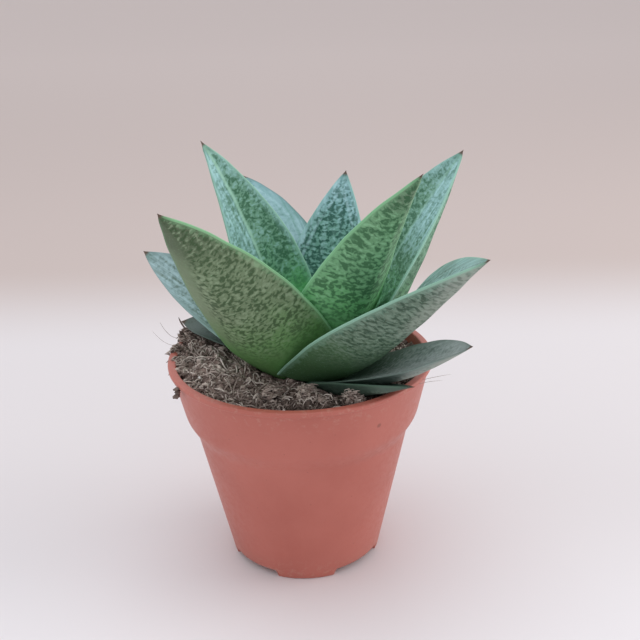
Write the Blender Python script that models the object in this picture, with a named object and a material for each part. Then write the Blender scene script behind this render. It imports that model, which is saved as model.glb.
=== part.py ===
"""Potted gasteria: a small succulent rosette in a plastic nursery pot.

The pot stands on its foot ring on the plane z = 0.  The soil fills the pot to just
below the rim, a short stem stands in the soil, and fleshy leaves leave the stem in
two loose ranks, left and right, with a few in front of it and behind it.

Every leaf is drawn by the same rule: rings of a keeled section along a curved
centre line, closed by a flat cut at the stem and by a point at the tip.
All the lengths below are millimetres and all the angles are degrees.
"""
import math

import bpy
import numpy as np
from mathutils import Vector
from mathutils.bvhtree import BVHTree

MM = 0.001
GAP = 0.3

# ---------------------------------------------------------------- pot
RIM_RADIUS = 27.5
POT_HEIGHT = 45.5
BASE_RADIUS = 16.4
BODY_TOP_RADIUS = 22.8
BODY_MIDDLE_Z = 16.0
BODY_TOP_Z = 30.2
COLLAR_BOTTOM_RADIUS = 24.8
COLLAR_BOTTOM_Z = 33.6
COLLAR_MIDDLE_Z = 39.0
SHOULDER_ROUND = 0.5
WALL = 0.9
LIP_HEIGHT = 1.3
LIP_STEP = 0.35
LIP_ROUND = 0.4
LIP_DRAFT = 0.1
FLOOR_UNDERSIDE_Z = 1.8
FLOOR_TOP_Z = 2.8
FOOT_FLAT_WIDTH = 1.3
FOOT_ROUND = 0.3
NOTCH_COUNT = 4
NOTCH_FIRST_ANGLE = 45.0
NOTCH_WIDTH = 13.0
NOTCH_HEIGHT = 1.4
NOTCH_DEPTH = 3.0
DRAIN_RADIUS = 1.8
DRAIN_CIRCLE_RADIUS = 10.5
DRAIN_SEGMENTS = 20
CUT_THROUGH = 1.0
POT_SEGMENTS = 48

# ---------------------------------------------------------------- soil
SOIL_LEVEL = 43.0
SOIL_SEGMENTS = 48
SOIL_RINGS = 13
SOIL_LEAF_CLEARANCE = 0.45
SOIL_LEAF_REACH = 1.2
SOIL_LOWEST = 36.0
SOIL_WAVE_HEIGHT = 0.25
SOIL_WAVE_X = 0.55
SOIL_WAVE_Y = 0.47
# low heaps on the soil: x, y, radius, height
SOIL_HEAPS = (
    (-20.0, 8.0, 9.0, 2.0),
    (-9.0, -16.0, 7.0, -0.6),
    (6.0, -20.0, 6.0, 0.5),
    (17.0, 14.0, 9.0, 0.6),
    (-6.0, 19.0, 8.0, -0.5),
)

# ---------------------------------------------------------------- stem
STEM_X = 3.0
STEM_Y = 0.5
# height and radius of the stem, from its root end to the growing point
STEM_PROFILE = (
    (35.0, 2.0),
    (37.0, 4.6),
    (39.5, 6.2),
    (42.0, 6.1),
    (44.0, 5.8),
    (46.0, 5.1),
    (48.0, 4.1),
    (49.6, 3.0),
    (50.4, 1.6),
)
STEM_SEGMENTS = 20

# ---------------------------------------------------------------- leaves
# rings along the leaf, as shares of its length
LEAF_STATIONS = (0.0, 0.06, 0.13, 0.21, 0.31, 0.42, 0.53, 0.64, 0.74, 0.83, 0.90, 0.96)
LEAF_CENTRE_STEPS = 120
LEAF_FACE_POINTS = 7
# how much of the hollow of the face the back follows
LEAF_BACK_HOLLOW = 0.6
# where the greatest width and thickness lie, and the thickness at the cut face as a share of it
LEAF_WIDEST_AT = 0.20
LEAF_BASE_THICKNESS = 0.58
LEAF_THICKEST_AT = 0.30
LEAF_THINNING_POWER = 2.0
LEAF_KEEL_POWER = 1.35
LEAF_LEAST_HALF_WIDTH = 0.12

# azimuth: direction seen from above, 0 along +X, 90 to the back
# root: distance from the stem's axis and height of the cut face
# rise: slope of the centre line at the root and at the tip
# roll: turn of the face about the centre line at the root and at the tip
# sweep: how far the tip turns sideways; keel: where the ridge lies between the edges
# bend: how far the tip is shifted across the leaf; taper: how blunt the tip is
# channel: depth of the hollow upper face as a share of the half width
# base: width at the cut face as a share of the greatest
LEAF_FIELDS = ("name", "azimuth", "root_r", "root_z", "rise_0", "rise_1", "length", "width",
               "thickness", "roll_0", "roll_1", "sweep", "keel", "bend", "taper", "channel", "base",
               "colour")
GREEN_FRONT = (0.105, 0.135, 0.075)
GREEN_INNER = (0.085, 0.170, 0.085)
GREEN_BACK = (0.150, 0.270, 0.215)
GREEN_OLD = (0.085, 0.105, 0.085)
LEAVES = (
    ("leaf_front_left", 231.1, 5.4, 44.4, 56.4, 41.3, 55.8, 22.3, 4.7,
     27.5, 33.9, 8.0, -0.24, -0.3, 1.69, 0.18, 0.73, GREEN_FRONT),
    ("leaf_front_right", 307.6, 5.9, 46.3, 51.3, 22.8, 55.0, 24.0, 6.8,
     -5.2, 23.8, -0.2, -0.13, -1.3, 1.57, 0.23, 1.01, GREEN_FRONT),
    ("leaf_low_right", 319.1, 6.0, 42.5, 24.1, 24.4, 37.1, 17.7, 3.0,
     -5.1, 19.2, -8.2, -0.22, 0.1, 2.08, 0.21, 0.88, GREEN_OLD),
    ("leaf_lowest_right", 299.9, 6.5, 40.7, 24.0, 14.5, 28.3, 14.7, 2.1,
     -13.9, -16.9, 15.1, -0.47, 0.1, 1.58, 0.22, 0.76, GREEN_OLD),
    ("leaf_inner_right", 304.1, 3.4, 48.6, 66.5, 42.9, 50.8, 20.3, 4.6,
     -3.1, -14.4, 7.6, 0.16, 0.5, 1.44, 0.18, 0.72, GREEN_INNER),
    ("leaf_tall_right", 17.7, 5.6, 45.8, 64.8, 49.7, 48.8, 21.2, 6.1,
     -6.9, 21.1, -6.5, -0.29, -1.7, 2.2, 0.21, 0.72, GREEN_BACK),
    ("leaf_back_left", 104.7, 4.7, 47.2, 61.8, 20.6, 44.5, 16.3, 3.2,
     0.3, -4.8, 27.3, -0.03, 0.8, 1.79, 0.13, 0.73, GREEN_BACK),
    ("leaf_tall_left", 177.1, 4.6, 47.9, 81.0, 55.8, 46.3, 18.9, 3.9,
     -46.0, -33.2, 0.9, 0.01, -0.6, 1.72, 0.24, 0.7, GREEN_BACK),
    ("leaf_back", 69.3, 3.7, 49.0, 69.6, 48.8, 35.8, 19.0, 3.7,
     7.7, 12.3, 3.3, -0.12, -0.5, 1.57, 0.19, 0.72, GREEN_BACK),
    ("leaf_outer_left", 162.8, 5.6, 45.5, 35.9, 27.7, 38.0, 18.2, 3.5,
     -7.7, -31.7, -4.6, 0.15, 0.8, 2.1, 0.18, 0.72, GREEN_BACK),
    ("leaf_low_left", 159.1, 6.4, 42.5, 36.4, -3.6, 25.9, 12.4, 2.7,
     4.5, -17.7, 4.5, 0.13, 0.9, 3.4, 0.18, 0.72, GREEN_OLD),
    ("leaf_hidden_right", 53.5, 6.2, 42.8, 33.5, 16.4, 29.7, 12.8, 3.2,
     -2.2, 2.8, 1.6, 0.02, 0.0, 1.5, 0.16, 0.7, GREEN_BACK),
    ("leaf_hidden_left", 108.7, 6.0, 43.9, 33.9, 16.9, 32.4, 10.9, 3.5,
     -4.6, 0.2, 3.7, -0.02, 0.1, 1.5, 0.18, 0.72, GREEN_BACK),
    ("leaf_heart", 331.2, 1.2, 50.8, 80.7, 85.9, 10.3, 5.0, 2.4,
     0.0, 0.0, 0.0, 0.0, 0.0, 1.5, 0.18, 0.72, GREEN_INNER),
)

POT_COLOUR = (0.42, 0.115, 0.085)
POT_ROUGHNESS = 0.42
SOIL_COLOUR = (0.10, 0.075, 0.055)
SOIL_ROUGHNESS = 0.95
STEM_COLOUR = (0.16, 0.17, 0.09)
STEM_ROUGHNESS = 0.6
LEAF_ROUGHNESS = 0.45


def clear_scene():
    """Remove every object that the file opened with."""
    for old in list(bpy.data.objects):
        bpy.data.objects.remove(old, do_unlink=True)


def make_material(name, colour, roughness):
    """One Principled material with a plain colour."""
    material = bpy.data.materials.new(name)
    material.use_nodes = True
    shader = material.node_tree.nodes["Principled BSDF"]
    shader.inputs["Base Color"].default_value = (*colour, 1.0)
    shader.inputs["Roughness"].default_value = roughness
    shader.inputs["Metallic"].default_value = 0.0
    return material


def make_object(name, points_mm, faces, material, smooth_angle=40.0):
    """A mesh object from points in millimetres."""
    mesh = bpy.data.meshes.new(name)
    mesh.from_pydata([tuple(MM * c for c in p) for p in points_mm], [], faces)
    mesh.validate()
    mesh.update()
    mesh.shade_smooth()
    mesh.set_sharp_from_angle(angle=math.radians(smooth_angle))
    mesh.materials.append(material)
    thing = bpy.data.objects.new(name, mesh)
    bpy.context.scene.collection.objects.link(thing)
    return thing


def turned(profile, segments, centre=(0.0, 0.0)):
    """Points and faces of a solid turned about a vertical axis.

    The profile is a list of (radius, z) from the axis underneath, up the outside,
    and back to the axis on top, and its first and last points lie on the axis.
    """
    points = [(centre[0], centre[1], profile[0][1])]
    for radius, z in profile[1:-1]:
        for k in range(segments):
            angle = 2.0 * math.pi * k / segments
            points.append((centre[0] + radius * math.cos(angle), centre[1] + radius * math.sin(angle), z))
    points.append((centre[0], centre[1], profile[-1][1]))
    rings = len(profile) - 2
    last = len(points) - 1
    faces = []
    for k in range(segments):
        after = (k + 1) % segments
        faces.append((0, 1 + after, 1 + k))
        for ring in range(rings - 1):
            low = 1 + ring * segments
            high = low + segments
            faces.append((low + k, low + after, high + after, high + k))
        top = 1 + (rings - 1) * segments
        faces.append((top + k, top + after, last))
    return points, faces


# ---------------------------------------------------------------- pot
def collar_radius(z):
    """Outer radius of the collar's straight side at height z."""
    slope = (RIM_RADIUS - LIP_STEP - COLLAR_BOTTOM_RADIUS) / (POT_HEIGHT - COLLAR_BOTTOM_Z)
    return COLLAR_BOTTOM_RADIUS + slope * (z - COLLAR_BOTTOM_Z)


def body_radius(z):
    """Outer radius of the body's straight side at height z."""
    return BASE_RADIUS + (BODY_TOP_RADIUS - BASE_RADIUS) * z / BODY_TOP_Z


def inner_radius(z):
    """Radius of the pot's inner wall at height z."""
    if z <= BODY_TOP_Z + SHOULDER_ROUND:
        return body_radius(min(z, BODY_TOP_Z)) - WALL
    if z >= COLLAR_BOTTOM_Z + SHOULDER_ROUND:
        return collar_radius(z) - WALL
    low = body_radius(BODY_TOP_Z) - WALL
    high = collar_radius(COLLAR_BOTTOM_Z + SHOULDER_ROUND) - WALL
    share = (z - BODY_TOP_Z - SHOULDER_ROUND) / (COLLAR_BOTTOM_Z - BODY_TOP_Z)
    return low + (high - low) * share


def pot_profile():
    """The pot's section, from the axis under the floor to the axis on top of the floor."""
    lip_bottom = POT_HEIGHT - LIP_HEIGHT
    foot_outer = BASE_RADIUS - FOOT_ROUND
    foot_inner = foot_outer - FOOT_FLAT_WIDTH
    under = [
        (0.0, FLOOR_UNDERSIDE_Z),
        (foot_inner - FOOT_ROUND, FLOOR_UNDERSIDE_Z),
        (foot_inner - 0.5 * FOOT_ROUND, FOOT_ROUND),
        (foot_inner, 0.0),
    ]
    outside = [
        (foot_outer, 0.0),
        (body_radius(FOOT_ROUND), FOOT_ROUND),
        (body_radius(FLOOR_TOP_Z), FLOOR_TOP_Z),
        (body_radius(BODY_MIDDLE_Z), BODY_MIDDLE_Z),
        (body_radius(BODY_TOP_Z), BODY_TOP_Z),
        (COLLAR_BOTTOM_RADIUS - SHOULDER_ROUND, COLLAR_BOTTOM_Z - SHOULDER_ROUND),
        (collar_radius(COLLAR_BOTTOM_Z + SHOULDER_ROUND), COLLAR_BOTTOM_Z + SHOULDER_ROUND),
        (collar_radius(COLLAR_MIDDLE_Z), COLLAR_MIDDLE_Z),
        (collar_radius(lip_bottom), lip_bottom),
    ]
    lip = [
        (RIM_RADIUS - LIP_DRAFT, lip_bottom + LIP_STEP),
        (RIM_RADIUS, POT_HEIGHT - LIP_ROUND),
        (RIM_RADIUS - LIP_ROUND, POT_HEIGHT),
        (collar_radius(POT_HEIGHT) - WALL + LIP_ROUND * 0.5, POT_HEIGHT),
        (collar_radius(POT_HEIGHT) - WALL, POT_HEIGHT - LIP_ROUND * 0.5),
    ]
    inside = [
        (inner_radius(COLLAR_MIDDLE_Z), COLLAR_MIDDLE_Z),
        (inner_radius(COLLAR_BOTTOM_Z + SHOULDER_ROUND), COLLAR_BOTTOM_Z + SHOULDER_ROUND),
        (inner_radius(BODY_TOP_Z + SHOULDER_ROUND), BODY_TOP_Z + SHOULDER_ROUND),
        (inner_radius(BODY_MIDDLE_Z), BODY_MIDDLE_Z),
        (inner_radius(FLOOR_TOP_Z), FLOOR_TOP_Z),
        (0.0, FLOOR_TOP_Z),
    ]
    return under + outside + lip + inside


def add_cutter(name, points, faces, target):
    """A wire-displayed guide that a Boolean modifier takes away from the target."""
    cutter = make_object(name, points, faces, target.data.materials[0])
    cutter.display_type = "WIRE"
    cutter.hide_render = True
    cut = target.modifiers.new(name, "BOOLEAN")
    cut.operation = "DIFFERENCE"
    cut.solver = "EXACT"
    cut.object = cutter
    return cutter


def box_shape(centre, half):
    """Points and faces of a box with its sides along the axes."""
    points = []
    for sz in (-1, 1):
        for sy in (-1, 1):
            for sx in (-1, 1):
                points.append((centre[0] + sx * half[0], centre[1] + sy * half[1], centre[2] + sz * half[2]))
    faces = [(0, 2, 3, 1), (4, 5, 7, 6), (0, 1, 5, 4), (2, 6, 7, 3), (0, 4, 6, 2), (1, 3, 7, 5)]
    return points, faces


def turn_points(points, angle):
    """The points turned about the vertical axis by an angle in degrees."""
    c = math.cos(math.radians(angle))
    s = math.sin(math.radians(angle))
    return [(c * x - s * y, s * x + c * y, z) for x, y, z in points]


def make_pot():
    """The pot: a thin tapered cup with a collar, a lip, a notched foot and drain holes."""
    material = make_material("pot_plastic", POT_COLOUR, POT_ROUGHNESS)
    points, faces = turned(pot_profile(), POT_SEGMENTS)
    pot = make_object("pot", points, faces, material, smooth_angle=30.0)
    cutters = []
    drain_profile = [
        (0.0, FLOOR_UNDERSIDE_Z - CUT_THROUGH),
        (DRAIN_RADIUS, FLOOR_UNDERSIDE_Z - CUT_THROUGH),
        (DRAIN_RADIUS, FLOOR_TOP_Z + CUT_THROUGH),
        (0.0, FLOOR_TOP_Z + CUT_THROUGH),
    ]
    for k in range(NOTCH_COUNT):
        angle = NOTCH_FIRST_ANGLE + 360.0 * k / NOTCH_COUNT
        points, faces = box_shape((BASE_RADIUS, 0.0, 0.0), (NOTCH_DEPTH, 0.5 * NOTCH_WIDTH, NOTCH_HEIGHT))
        cutters.append(add_cutter("foot_notch_%d" % k, turn_points(points, angle), faces, pot))
        points, faces = turned(drain_profile, DRAIN_SEGMENTS, (DRAIN_CIRCLE_RADIUS, 0.0))
        cutters.append(add_cutter("drain_hole_%d" % k, turn_points(points, angle), faces, pot))
    points, faces = turned(drain_profile, DRAIN_SEGMENTS)
    cutters.append(add_cutter("drain_hole_middle", points, faces, pot))
    return pot, cutters


# ---------------------------------------------------------------- leaves
def leaf_half_width(leaf, s):
    """Half of the leaf's width at the share s of its length."""
    if s < LEAF_WIDEST_AT:
        rise = math.sin(0.5 * math.pi * s / LEAF_WIDEST_AT)
        share = leaf["base"] + (1.0 - leaf["base"]) * rise
    else:
        share = 1.0 - ((s - LEAF_WIDEST_AT) / (1.0 - LEAF_WIDEST_AT)) ** leaf["taper"]
    return max(0.5 * leaf["width"] * share, LEAF_LEAST_HALF_WIDTH)


def leaf_thickness(s, thickness):
    """The leaf's thickness at its keel at the share s of its length."""
    if s < LEAF_THICKEST_AT:
        rise = math.sin(0.5 * math.pi * s / LEAF_THICKEST_AT)
        share = LEAF_BASE_THICKNESS + (1.0 - LEAF_BASE_THICKNESS) * rise
    else:
        share = 1.0 - ((s - LEAF_THICKEST_AT) / (1.0 - LEAF_THICKEST_AT)) ** LEAF_THINNING_POWER
    return max(thickness * share, LEAF_LEAST_HALF_WIDTH)


def leaf_section(half_width, thickness, keel, channel):
    """Section points (across, outwards): the hollow face, then the keeled back."""
    face = []
    for k in range(LEAF_FACE_POINTS):
        u = -1.0 + 2.0 * k / (LEAF_FACE_POINTS - 1)
        face.append((u * half_width, -channel * half_width * (1.0 - u * u)))
    back = []
    for k in range(1, LEAF_FACE_POINTS - 1):
        u = 1.0 - 2.0 * k / (LEAF_FACE_POINTS - 1)
        reach = 1.0 - keel if u > keel else 1.0 + keel
        bulge = 1.0 - (abs(u - keel) / reach) ** LEAF_KEEL_POWER
        hollow = LEAF_BACK_HOLLOW * channel * half_width * (1.0 - u * u)
        back.append((u * half_width, -thickness * bulge - hollow))
    return face + back


def leaf_frame(leaf, s):
    """Directions along, across and out of the leaf's upper face at the share s."""
    rise = math.radians(leaf["rise_0"] + (leaf["rise_1"] - leaf["rise_0"]) * s)
    azimuth = math.radians(leaf["azimuth"] + leaf["sweep"] * s * s)
    roll = math.radians(leaf["roll_0"] + (leaf["roll_1"] - leaf["roll_0"]) * s)
    along = Vector((math.cos(rise) * math.cos(azimuth), math.cos(rise) * math.sin(azimuth), math.sin(rise)))
    level = Vector((-math.sin(azimuth), math.cos(azimuth), 0.0))
    upper = along.cross(level)
    across = level * math.cos(roll) + upper * math.sin(roll)
    out = upper * math.cos(roll) - level * math.sin(roll)
    return along, across, out


def leaf_centre(leaf):
    """Points of the leaf's centre line at even steps from the root to the tip."""
    azimuth = math.radians(leaf["azimuth"])
    root = Vector((STEM_X + leaf["root_r"] * math.cos(azimuth),
                   STEM_Y + leaf["root_r"] * math.sin(azimuth), leaf["root_z"]))
    points = [root]
    step = leaf["length"] / LEAF_CENTRE_STEPS
    for k in range(LEAF_CENTRE_STEPS):
        along, _, _ = leaf_frame(leaf, (k + 0.5) / LEAF_CENTRE_STEPS)
        points.append(points[-1] + along * step)
    return points


def make_leaf(row):
    """One leaf as a closed solid."""
    leaf = dict(zip(LEAF_FIELDS, row))
    centre = leaf_centre(leaf)
    points = []
    for s in LEAF_STATIONS:
        _, across, out = leaf_frame(leaf, s)
        place = centre[round(s * LEAF_CENTRE_STEPS)] + across * (leaf["bend"] * s * s)
        half_width = leaf_half_width(leaf, s)
        thickness = leaf_thickness(s, leaf["thickness"])
        for b, n in leaf_section(half_width, thickness, leaf["keel"], leaf["channel"]):
            points.append(tuple(place + across * b + out * n))
    ring = 2 * LEAF_FACE_POINTS - 2
    tip = len(points)
    _, across, _ = leaf_frame(leaf, 1.0)
    points.append(tuple(centre[-1] + across * leaf["bend"]))
    faces = [tuple(range(ring))]
    for k in range(len(LEAF_STATIONS) - 1):
        low = k * ring
        for j in range(ring):
            after = (j + 1) % ring
            faces.append((low + after, low + j, low + ring + j, low + ring + after))
    low = (len(LEAF_STATIONS) - 1) * ring
    for j in range(ring):
        faces.append((low + (j + 1) % ring, low + j, tip))
    material = make_material(leaf["name"] + "_skin", leaf["colour"], LEAF_ROUGHNESS)
    return make_object(leaf["name"], points, faces, material, smooth_angle=50.0)


# ---------------------------------------------------------------- stem and soil
def make_stem():
    """The short stem that carries the leaves, tapered to the growing point."""
    profile = [(0.0, STEM_PROFILE[0][0])]
    profile += [(radius, z) for z, radius in STEM_PROFILE]
    profile.append((0.0, STEM_PROFILE[-1][0] + 0.3))
    points, faces = turned(profile, STEM_SEGMENTS, (STEM_X, STEM_Y))
    return make_object("stem", points, faces, make_material("stem_skin", STEM_COLOUR, STEM_ROUGHNESS))


def soil_height(x, y):
    """Height of the open soil at a place, before it is pressed down under the leaves."""
    z = SOIL_LEVEL + SOIL_WAVE_HEIGHT * math.sin(SOIL_WAVE_X * x + 1.0) * math.cos(SOIL_WAVE_Y * y)
    for hx, hy, radius, height in SOIL_HEAPS:
        z += height * math.exp(-((x - hx) ** 2 + (y - hy) ** 2) / (radius * radius))
    return z


def lowest_leaf(trees, x, y):
    """Height of the lowest leaf surface above a place, or None."""
    lowest = None
    for tree in trees:
        hit = tree.ray_cast(Vector((x, y, 0.0)) * MM, Vector((0.0, 0.0, 1.0)))
        if hit[0] is not None:
            z = hit[0].z / MM
            lowest = z if lowest is None else min(lowest, z)
    return lowest


def make_soil(leaves):
    """The root ball: it fills the pot and its top stays clear of the leaves."""
    trees = []
    for leaf in leaves:
        corners = [v.co for v in leaf.data.vertices]
        faces = [tuple(p.vertices) for p in leaf.data.polygons]
        trees.append(BVHTree.FromPolygons(corners, faces))
    edge = inner_radius(SOIL_LEVEL) - GAP
    low_z = FLOOR_TOP_Z + GAP
    side = [
        (inner_radius(low_z) - GAP, low_z),
        (inner_radius(BODY_MIDDLE_Z) - GAP, BODY_MIDDLE_Z),
        (inner_radius(BODY_TOP_Z) - GAP, BODY_TOP_Z + SHOULDER_ROUND),
        (inner_radius(COLLAR_BOTTOM_Z + SHOULDER_ROUND) - GAP, COLLAR_BOTTOM_Z + 2 * SHOULDER_ROUND),
        (inner_radius(COLLAR_MIDDLE_Z) - GAP, COLLAR_MIDDLE_Z),
    ]
    points = [(0.0, 0.0, low_z)]
    for radius, z in side:
        for k in range(SOIL_SEGMENTS):
            angle = 2.0 * math.pi * k / SOIL_SEGMENTS
            points.append((radius * math.cos(angle), radius * math.sin(angle), z))
    for ring in range(SOIL_RINGS):
        radius = edge * (SOIL_RINGS - ring) / SOIL_RINGS
        for k in range(SOIL_SEGMENTS):
            angle = 2.0 * math.pi * k / SOIL_SEGMENTS
            x = radius * math.cos(angle)
            y = radius * math.sin(angle)
            points.append((x, y, pressed_height(trees, x, y)))
    points.append((0.0, 0.0, pressed_height(trees, 0.0, 0.0)))
    rings = len(side) + SOIL_RINGS
    last = len(points) - 1
    faces = []
    for k in range(SOIL_SEGMENTS):
        after = (k + 1) % SOIL_SEGMENTS
        faces.append((0, 1 + after, 1 + k))
        for ring in range(rings - 1):
            low = 1 + ring * SOIL_SEGMENTS
            high = low + SOIL_SEGMENTS
            faces.append((low + k, low + after, high + after, high + k))
        top = 1 + (rings - 1) * SOIL_SEGMENTS
        faces.append((top + k, top + after, last))
    soil = make_object("soil", points, faces, make_material("soil_peat", SOIL_COLOUR, SOIL_ROUGHNESS))
    pocket_profile = [(0.0, STEM_PROFILE[0][0] - 2 * GAP)]
    # only the part of the stem that stands in the soil gives the pocket its shape
    pocket_profile += [(radius + GAP, z - GAP) for z, radius in STEM_PROFILE[:3]]
    pocket_profile += [(STEM_PROFILE[2][1] + GAP, POT_HEIGHT), (0.0, POT_HEIGHT)]
    points, faces = turned(pocket_profile, STEM_SEGMENTS, (STEM_X, STEM_Y))
    cutter = add_cutter("stem_pocket", points, faces, soil)
    return soil, cutter


def pressed_height(trees, x, y):
    """Height of the soil where it may lie under a leaf."""
    z = soil_height(x, y)
    spread = (-SOIL_LEAF_REACH, -0.5 * SOIL_LEAF_REACH, 0.0, 0.5 * SOIL_LEAF_REACH, SOIL_LEAF_REACH)
    for dx in spread:
        for dy in spread:
            leaf_z = lowest_leaf(trees, x + dx, y + dy)
            if leaf_z is not None:
                z = min(z, leaf_z - SOIL_LEAF_CLEARANCE)
    return max(z, SOIL_LOWEST)


def main():
    """Build the whole plant and put its outer box's bottom centre at the origin."""
    clear_scene()
    pot, cutters = make_pot()
    leaves = [make_leaf(row) for row in LEAVES]
    stem = make_stem()
    soil, pocket = make_soil(leaves)
    solids = [pot, stem, soil] + leaves
    corners = np.array([tuple(v.co) for thing in solids for v in thing.data.vertices])
    middle = 0.5 * (corners.min(axis=0) + corners.max(axis=0))
    stand = bpy.data.objects.new("stand", None)
    bpy.context.scene.collection.objects.link(stand)
    stand.location = (-middle[0], -middle[1], 0.0)
    for thing in solids + cutters + [pocket]:
        thing.parent = stand
    print("pot axis at %.3f, %.3f mm" % (-middle[0] / MM, -middle[1] / MM))


main()
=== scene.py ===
"""Looks of the potted gasteria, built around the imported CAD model.

Every CAD node is replaced by a finer mesh of the same shape with its own procedural
material: the leaves, the stem, the pot and the soil, which also gets peat fibres,
crumbs, grit and root hairs.  Shapes are worked out in millimetres from the pot's axis,
with z up from the plane that the pot stands on, and turned into metres at the end.
"""

import math
import random

import bmesh
import bpy
import numpy as np
from mathutils import Matrix, Vector, noise
from mathutils.bvhtree import BVHTree


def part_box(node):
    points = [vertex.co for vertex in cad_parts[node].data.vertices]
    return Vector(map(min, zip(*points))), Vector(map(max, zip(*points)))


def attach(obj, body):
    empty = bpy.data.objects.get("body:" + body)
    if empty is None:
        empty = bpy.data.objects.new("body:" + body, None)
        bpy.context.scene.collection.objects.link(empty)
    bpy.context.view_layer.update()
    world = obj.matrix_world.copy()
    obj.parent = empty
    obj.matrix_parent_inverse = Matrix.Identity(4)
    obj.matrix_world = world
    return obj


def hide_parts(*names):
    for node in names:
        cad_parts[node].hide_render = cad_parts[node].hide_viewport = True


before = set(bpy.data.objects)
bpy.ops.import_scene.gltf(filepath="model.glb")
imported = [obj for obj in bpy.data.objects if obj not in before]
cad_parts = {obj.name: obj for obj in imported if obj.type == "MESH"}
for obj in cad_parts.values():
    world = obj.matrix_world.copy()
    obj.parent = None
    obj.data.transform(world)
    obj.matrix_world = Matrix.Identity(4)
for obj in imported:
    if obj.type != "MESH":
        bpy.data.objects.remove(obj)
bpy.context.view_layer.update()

# Unless it is seeded, noise_vector takes its offsets from the clock and changes with each run.
NOISE_SEED = 7
noise.seed_set(NOISE_SEED)

MM = 0.001
POT_LOW, POT_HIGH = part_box("pot")
AXIS = np.array([0.5 * (POT_LOW.x + POT_HIGH.x), 0.5 * (POT_LOW.y + POT_HIGH.y), 0.0]) / MM
RIM_RADIUS = 0.5 * (POT_HIGH.x - POT_LOW.x) / MM
POT_HEIGHT = POT_HIGH.z / MM

# ---------------------------------------------------------------- stem and leaves, as in the CAD
STEM_X = 3.0
STEM_Y = 0.5
STEM_PROFILE = ((0.0, 35.0), (4.6, 37.0), (6.2, 39.5), (6.1, 42.0), (5.8, 44.0), (5.1, 46.0), (4.1, 48.0),
                (3.0, 49.6), (1.6, 50.4), (0.0, 50.7))
STEM_SEGMENTS = 72
STEM_UNEVEN = 0.35
STEM_UNEVEN_SIZE = 1.6
LEAF_BACK_HOLLOW = 0.6
LEAF_WIDEST_AT = 0.20
LEAF_BASE_THICKNESS = 0.58
LEAF_THICKEST_AT = 0.30
LEAF_THINNING_POWER = 2.0
LEAF_KEEL_POWER = 1.35
LEAF_FIELDS = ("name", "azimuth", "root_r", "root_z", "rise_0", "rise_1", "length", "width",
               "thickness", "roll_0", "roll_1", "sweep", "keel", "bend", "taper", "channel", "base")
LEAVES = (
    ("leaf_front_left", 231.1, 5.4, 44.4, 56.4, 41.3, 55.8, 22.3, 4.7,
     27.5, 33.9, 8.0, -0.24, -0.3, 1.69, 0.18, 0.73),
    ("leaf_front_right", 307.6, 5.9, 46.3, 51.3, 22.8, 55.0, 24.0, 6.8,
     -5.2, 23.8, -0.2, -0.13, -1.3, 1.57, 0.23, 1.01),
    ("leaf_low_right", 319.1, 6.0, 42.5, 24.1, 24.4, 37.1, 17.7, 3.0,
     -5.1, 19.2, -8.2, -0.22, 0.1, 2.08, 0.21, 0.88),
    ("leaf_lowest_right", 299.9, 6.5, 40.7, 24.0, 14.5, 28.3, 14.7, 2.1,
     -13.9, -16.9, 15.1, -0.47, 0.1, 1.58, 0.22, 0.76),
    ("leaf_inner_right", 304.1, 3.4, 48.6, 66.5, 42.9, 50.8, 20.3, 4.6,
     -3.1, -14.4, 7.6, 0.16, 0.5, 1.44, 0.18, 0.72),
    ("leaf_tall_right", 17.7, 5.6, 45.8, 64.8, 49.7, 48.8, 21.2, 6.1,
     -6.9, 21.1, -6.5, -0.29, -1.7, 2.2, 0.21, 0.72),
    ("leaf_back_left", 104.7, 4.7, 47.2, 61.8, 20.6, 44.5, 16.3, 3.2,
     0.3, -4.8, 27.3, -0.03, 0.8, 1.79, 0.13, 0.73),
    ("leaf_tall_left", 177.1, 4.6, 47.9, 81.0, 55.8, 46.3, 18.9, 3.9,
     -46.0, -33.2, 0.9, 0.01, -0.6, 1.72, 0.24, 0.7),
    ("leaf_back", 69.3, 3.7, 49.0, 69.6, 48.8, 35.8, 19.0, 3.7,
     7.7, 12.3, 3.3, -0.12, -0.5, 1.57, 0.19, 0.72),
    ("leaf_outer_left", 162.8, 5.6, 45.5, 35.9, 27.7, 38.0, 18.2, 3.5,
     -7.7, -31.7, -4.6, 0.15, 0.8, 2.1, 0.18, 0.72),
    ("leaf_low_left", 159.1, 6.4, 42.5, 36.4, -3.6, 25.9, 12.4, 2.7,
     4.5, -17.7, 4.5, 0.13, 0.9, 3.4, 0.18, 0.72),
    ("leaf_hidden_right", 53.5, 6.2, 42.8, 33.5, 16.4, 29.7, 12.8, 3.2,
     -2.2, 2.8, 1.6, 0.02, 0.0, 1.5, 0.16, 0.7),
    ("leaf_hidden_left", 108.7, 6.0, 43.9, 33.9, 16.9, 32.4, 10.9, 3.5,
     -4.6, 0.2, 3.7, -0.02, 0.1, 1.5, 0.18, 0.72),
    ("leaf_heart", 331.2, 1.2, 50.8, 80.7, 85.9, 10.3, 5.0, 2.4,
     0.0, 0.0, 0.0, 0.0, 0.0, 1.5, 0.18, 0.72),
)
# finer than the CAD: rings along a leaf, points across a face, and round the thin edge
LEAF_RINGS = 150
LEAF_FACE_POINTS = 27
EDGE_POINTS = 3
EDGE_THICKNESS = 0.34
LEAF_CREASE = 0.45
LEAF_START = -2.4
LEAF_UNEVEN = 0.16
LEAF_UNEVEN_SIZE = 6.0
TIP_DRAWN_IN = 0.5
TIP_DRAWN_LENGTH = 1.3
MUCRO_LENGTH = 1.6
MUCRO_RADIUS = 0.15

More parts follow.
